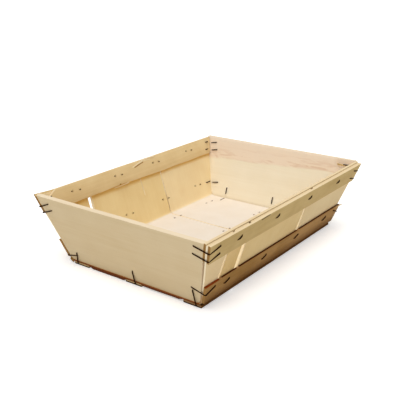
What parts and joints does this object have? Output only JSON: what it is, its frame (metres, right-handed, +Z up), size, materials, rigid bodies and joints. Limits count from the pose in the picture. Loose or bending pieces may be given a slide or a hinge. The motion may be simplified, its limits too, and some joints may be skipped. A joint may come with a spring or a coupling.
{
  "type": "wooden gift basket tray",
  "caption": "Rectangular gift tray with flared sides, made of bent wood veneer strips, end boards, thin rails and runners, all stitched with wire staples.",
  "frame": {"origin": "on the ground under the tray's middle, level with the undersides of the runners", "axes": "+X along the tray from the front end board to the back one, +Y across it from the near wall to the far wall, +Z up"},
  "size_m": [0.3306, 0.2454, 0.0861],
  "materials": {
    "veneer": "peeled poplar veneer, bare and matt",
    "end_board": "sawn and planed poplar, bare and matt",
    "rail": "sawn poplar lath, bare and matt",
    "staple_wire": "drawn wire with a dark brown skin"
  },
  "bodies": {
    "root": {"corner_staple_back_far_lower": "staple_wire", "corner_staple_back_far_second": "staple_wire", "corner_staple_back_far_top": "staple_wire", "corner_staple_back_near_lower": "staple_wire", "corner_staple_back_near_second": "staple_wire", "corner_staple_back_near_top": "staple_wire", "corner_staple_front_far_lower": "staple_wire", "corner_staple_front_far_second": "staple_wire", "corner_staple_front_far_top": "staple_wire", "corner_staple_front_near_lower": "staple_wire", "corner_staple_front_near_second": "staple_wire", "corner_staple_front_near_top": "staple_wire", "end_board_back": "end_board", "end_board_front": "end_board", "foot_staple_back_far": "staple_wire", "foot_staple_back_middle": "staple_wire", "foot_staple_back_near": "staple_wire", "foot_staple_front_far": "staple_wire", "foot_staple_front_middle": "staple_wire", "foot_staple_front_near": "staple_wire", "lower_rail_far": "rail", "lower_rail_near": "rail", "runner_far": "rail", "runner_middle": "rail", "runner_near": "rail", "staple_lower_far_1": "staple_wire", "staple_lower_far_2": "staple_wire", "staple_lower_far_3": "staple_wire", "staple_lower_far_4": "staple_wire", "staple_lower_near_1": "staple_wire", "staple_lower_near_2": "staple_wire", "staple_lower_near_3": "staple_wire", "staple_lower_near_4": "staple_wire", "staple_runner_far_1": "staple_wire", "staple_runner_far_2": "staple_wire", "staple_runner_far_3": "staple_wire", "staple_runner_far_4": "staple_wire", "staple_runner_middle_2": "staple_wire", "staple_runner_middle_3": "staple_wire", "staple_runner_middle_4": "staple_wire", "staple_runner_near_1": "staple_wire", "staple_runner_near_2": "staple_wire", "staple_runner_near_3": "staple_wire", "staple_runner_near_4": "staple_wire", "staple_top_far_1": "staple_wire", "staple_top_far_2": "staple_wire", "staple_top_far_3": "staple_wire", "staple_top_far_4": "staple_wire", "staple_top_near_1": "staple_wire", "staple_top_near_2": "staple_wire", "staple_top_near_3": "staple_wire", "staple_top_near_4": "staple_wire", "top_rail_inner_far": "rail", "top_rail_inner_near": "rail", "top_rail_outer_far": "rail", "top_rail_outer_near": "rail", "veneer_strip_1": "veneer", "veneer_strip_2": "veneer", "veneer_strip_3": "veneer", "veneer_strip_4": "veneer"}
  },
  "joints": []
}
